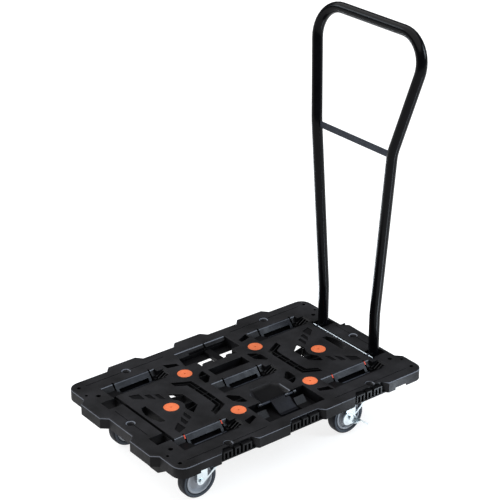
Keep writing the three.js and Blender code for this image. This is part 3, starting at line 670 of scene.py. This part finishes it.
def round_the_top(bm, level, steps=3):
    """Every rim of the load surface gets a rounded edge, and the surface between them is meshed afresh."""
    top = [f for f in bm.faces if f.normal.z > 0.999 and abs(f.calc_center_median().z - level) < 1e-5]
    rims = walk_rims(bm, top)
    necks = neck_limits([np.array([corner.vert.co.xy for corner in rim]) for rim in rims])
    plans = []
    for rim, neck in zip(rims, necks):
        verts = [corner.vert for corner in rim]
        walls = [corner.link_loop_radial_next.face for corner in rim]
        depths = [level - min(v.co.z for v in wall.verts) for wall in walls]
        points = [v.co.xy.copy() for v in verts]
        widest = rim_width(points)
        widths = [min(widest, neck[i], 0.4 * depths[i - 1], 0.4 * depths[i]) for i in range(len(rim))]
        plans.append((verts, points, widths))
    bmesh.ops.delete(bm, geom=top, context="FACES_KEEP_BOUNDARY")
    lowered = {}
    for verts, _, widths in plans:
        for v, width in zip(verts, widths):
            lowered[v] = min(width, lowered.get(v, width))
    for v, width in lowered.items():
        v.co.z -= width
    sharp = []
    inner_rings = []
    for verts, points, widths in plans:
        rings = rounded_edge(bm, verts, points, widths, level, steps)
        for ring in (rings[0], rings[-1]):
            sharp += [bm.edges.get((ring[i - 1], ring[i])) for i in range(len(ring))]
        inner_rings.append(rings[-1])
    fill_between(bm, inner_rings, level)
    for edge in sharp:
        edge.smooth = False


def add_webs(bm, outlines, height):
    """Flat webs just above the shell's foot, outlined in millimetres about the load surface's middle."""
    before = set(bm.faces)
    foot = deck_top - skirt_depth + 0.2 * MM
    for outline in outlines:
        prism(bm, [(x * MM, deck_y + y * MM) for x, y in outline], foot, foot + height)
    bmesh.ops.recalc_face_normals(bm, faces=[face for face in bm.faces if face not in before])


def make_deck_shell():
    """The deck with its rims rounded, and the parts of its foot that close openings from view."""
    bm = mesh_of("deck")
    for edge in bm.edges:
        edge.smooth = True
    round_the_top(bm, deck_top)
    # The side bays are closed at their feet, under the fins.
    bay_foot = ((-51.5, -239), (51.5, -239), (42, -227), (-42, -227))
    add_webs(bm, [[(bay + x, y) for x, y in bay_foot] for bay in BAYS], 3.3 * MM)
    # One web stands behind the rear crescent's rib, and one floors the near front socket.
    add_webs(bm, [[(209, 33), (212, 30), (240, 61), (237, 64)]], 3.8 * MM)
    add_webs(bm, [[(-346, -92), (-318, -92), (-318, -80), (-346, -80)]], 1.8 * MM)
    piece_from("deck_shell", bm, "deck", DECK, 34, keep_sharp=True)


def make_deck():
    make_deck_shell()
    for place in STOPS:
        refine(f"flip_stop_{place}", STOP, 0.6 * MM)
        # The stop pins are zinc, drawn in the dark paint as painted shade, for they lie in the shaded slots
        # under the flaps.
        refine(f"stop_pin_{place}", DARK, 0.3 * MM)
    for place in ("front_near", "rear_near"):
        for end in "ab":
            refine(f"stop_catch_{place}_{end}", CATCH, 0.3 * MM)
    refine("link_tongue", STOP, 0.8 * MM)
    refine("link_pin", DARK, 0.4 * MM)


def make_disc(place):
    """A flush disc with a raised rim, a shallow ring and a small centre mark from its mould."""
    node = f"grip_disc_{place}"
    low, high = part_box(node)
    x, y = (low.x + high.x) / 2, (low.y + high.y) / 2
    radius = (high.x - low.x) / 2
    top = high.z
    dip = 0.5 * MM
    profile = [
        (0, top - 2.4 * MM), (2.0 * MM, top - 2.4 * MM), (2.4 * MM, top - dip), (13.2 * MM, top - dip),
        (13.6 * MM, top - 0.1 * MM), (14.6 * MM, top), (15.6 * MM, top - 0.1 * MM), (16.0 * MM, top - dip),
        (radius - 2.4 * MM, top - dip), (radius - 2.0 * MM, top), (radius - 0.6 * MM, top),
        (radius, top - 0.6 * MM), (radius, low.z), (0, low.z),
    ]
    bm = bmesh.new()
    revolve(bm, profile, (x, y, 0), "Z", 72)
    piece_from(f"disc_{place}", bm, node, ORANGE)


# ------------------------------------------------------------------ handle

def handle_corners():
    """Where the handle's straight runs would meet, from the near foot over the top to the far foot."""
    knee_y, top_y, top_x = 143.6 * MM, 209.5 * MM, 392.7 * MM
    foot, splay, knee, top = [deck_top + z * MM for z in (-26, 112, 576, 874.1)]

    def side(sign):
        corners = [(leg_x, leg_y, foot), (leg_x, leg_y, splay), (leg_x, knee_y, knee), (top_x, top_y, top)]
        return [Vector((x, deck_y + sign * y, z)) for x, y, z in corners]

    return side(-1) + side(1)[::-1]


def make_handle():
    """The bent tube, its flat crossbar and the two hinge ears at its feet."""
    path = rounded_path(handle_corners(), [r * MM for r in (300, 160, 78, 78, 160, 300)], 12)
    bm = bmesh.new()
    sweep(bm, path, tube_radius, 40, tube_radius - tube_wall)
    piece_from("handle_bar", bm, "handle_tube", BLACK)

    low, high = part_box("handle_crossbar")
    bm = bmesh.new()
    near, far = low.y - 1.5 * MM, high.y + 1.5 * MM
    prism(bm, [(low.x, near), (high.x, near), (high.x, far), (low.x, far)], low.z, high.z)
    soften(bm, 1.2 * MM, 3)
    piece_from("crossbar", bm, "handle_crossbar", DARK)
    for side in ("near", "far"):
        refine(f"hinge_ear_{side}", DARK, 0.6 * MM)


def make_hinge_rod():
    """The hinge rod, whose two ends turn down into the deck."""
    low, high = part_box("hinge_rod")
    centre = (low + high) / 2
    radius = 0.8 * (high.x - low.x) / 2
    reach = (high.y - low.y) / 2 - 5 * MM
    foot = centre.z - 8 * MM
    ends = [(-reach, foot), (-reach, centre.z), (reach, centre.z), (reach, foot)]
    bend = 5.5 * MM
    path = rounded_path([Vector((centre.x, centre.y + y, z)) for y, z in ends], [bend, bend], 8)
    bm = bmesh.new()
    sweep(bm, path, radius, 28)
    piece_from("hinge_bar", bm, "hinge_rod", ROD)


# ------------------------------------------------------------------ casters

def make_tyre(place):
    """A crowned tread, a rounded shoulder and a raised bead round the rim of the hub."""
    node = f"tyre_{place}"
    low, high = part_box(node)
    centre = (low + high) / 2
    radius = (high.z - low.z) / 2
    half = (high.y - low.y) / 2
    inner = radius - 12.1 * MM
    side = [
        (inner, half - 1.4 * MM), (inner + 1.6 * MM, half - 0.6 * MM),
        (inner + 2.6 * MM, half - 1.3 * MM), (inner + 6 * MM, half - 0.4 * MM),
        (inner + 8 * MM, half - 0.4 * MM), (radius - 2.6 * MM, half - 1.2 * MM),
        (radius - 1.3 * MM, half - 2.6 * MM), (radius - 0.45 * MM, half - 4.6 * MM),
        (radius - 0.1 * MM, half - 7 * MM), (radius, half - 9.5 * MM),
    ]
    profile = side + [(r, -h) for r, h in reversed(side)]
    bm = bmesh.new()
    revolve(bm, profile, centre, "Y", 128)
    piece_from(f"tyre_ring_{place}", bm, node, TYRE, 40)


def make_hub(place):
    """A dished hub with a boss round the axle and a deep rim."""
    node = f"wheel_hub_{place}"
    low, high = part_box(node)
    centre = (low + high) / 2
    radius = (high.z - low.z) / 2
    boss = (high.y - low.y) / 2
    rim = 13 * MM
    side = [
        (4.3 * MM, boss), (9.4 * MM, boss), (10.4 * MM, boss - 1 * MM), (11.2 * MM, 8.4 * MM),
        (12.6 * MM, 6.8 * MM), (20 * MM, 6.3 * MM), (28 * MM, 6.9 * MM), (30.2 * MM, 8.4 * MM),
        (31.6 * MM, rim - 1.6 * MM), (32.6 * MM, rim - 0.4 * MM), (33.8 * MM, rim),
        (radius - 0.8 * MM, rim), (radius, rim - 0.8 * MM),
    ]
    profile = side + [(r, -h) for r, h in reversed(side)]
    bm = bmesh.new()
    revolve(bm, profile, centre, "Y", 96)
    piece_from(f"hub_{place}", bm, node, HUB, 40)


def make_axle(place):
    """The axle bolt, with a hexagon head at one end and a nut at the other."""
    node = f"axle_{place}"
    low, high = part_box(node)
    centre = (low + high) / 2
    bm = bmesh.new()
    bolt = 4 * MM
    revolve(bm, [(0, low.y), (bolt, low.y), (bolt, high.y), (0, high.y)], (centre.x, 0, centre.z), "Y", 32)
    for bottom, top in ((low.y + 0.6 * MM, low.y + 5 * MM), (high.y - 5.5 * MM, high.y - 1.2 * MM)):
        hexagon(bm, centre, 12.6 * MM, bottom, top)
    soften(bm, 0.5 * MM)
    piece_from(f"axle_bolt_{place}", bm, node, ZINC)


def make_fork(place):
    """A pressed fork: a crown under the race, and two cheeks with an open brace behind each."""
    node = f"fork_{place}"
    low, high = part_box(node)
    y = (low.y + high.y) / 2
    x = low.x + 46 * MM  # the swivel axis
    axle_x, axle_z = x - 34 * MM, 50 * MM
    crown = high.z - 8.3 * MM
    outer, inner = (high.y - low.y) / 2, (high.y - low.y) / 2 - 2.5 * MM

    def place_at(points):
        return [(x + u * MM, crown + v * MM) for u, v in points]

    arc = [(axle_x + 12 * MM * math.cos(math.radians(a)), axle_z + 12 * MM * math.sin(math.radians(a)))
           for a in range(180, 306, 14)]
    outline = place_at([(26, 0), (-24, 0), (-46, -42)]) + arc + place_at([(16, -49), (26, -13)])
    window = place_at([(-15, -14), (20, -14), (11.5, -45.5), (-15, -66)])
    bm = bmesh.new()
    for side_low, side_high in ((-outer, -inner), (inner, outer)):
        windowed_plate(bm, outline, window, y + side_low, y + side_high)
    left, right = x - 23.4 * MM, x + 25.4 * MM
    flat = [(left, y - inner), (right, y - inner), (right, y + inner), (left, y + inner)]
    prism(bm, flat, crown - 3 * MM, crown)
    pin_foot = crown - 1 * MM
    revolve(bm, [(0, pin_foot), (5 * MM, pin_foot), (5 * MM, high.z), (0, high.z)], (x, y, 0), "Z", 32)
    soften(bm, 0.5 * MM)
    piece_from(f"fork_cheeks_{place}", bm, node, ZINC)


def make_casters():
    for place in PLACES:
        make_tyre(place)
        make_hub(place)
        make_axle(place)
        make_fork(place)
        refine(f"swivel_race_{place}", ZINC, 0.6 * MM)
        refine(f"caster_plate_{place}", ZINC, 0.6 * MM)
        if place.startswith("rear"):
            refine(f"brake_pedal_{place}", ZINC, 0.6 * MM)


make_deck()
for disc_place in DISCS:
    make_disc(disc_place)
make_handle()
make_hinge_rod()
make_casters()
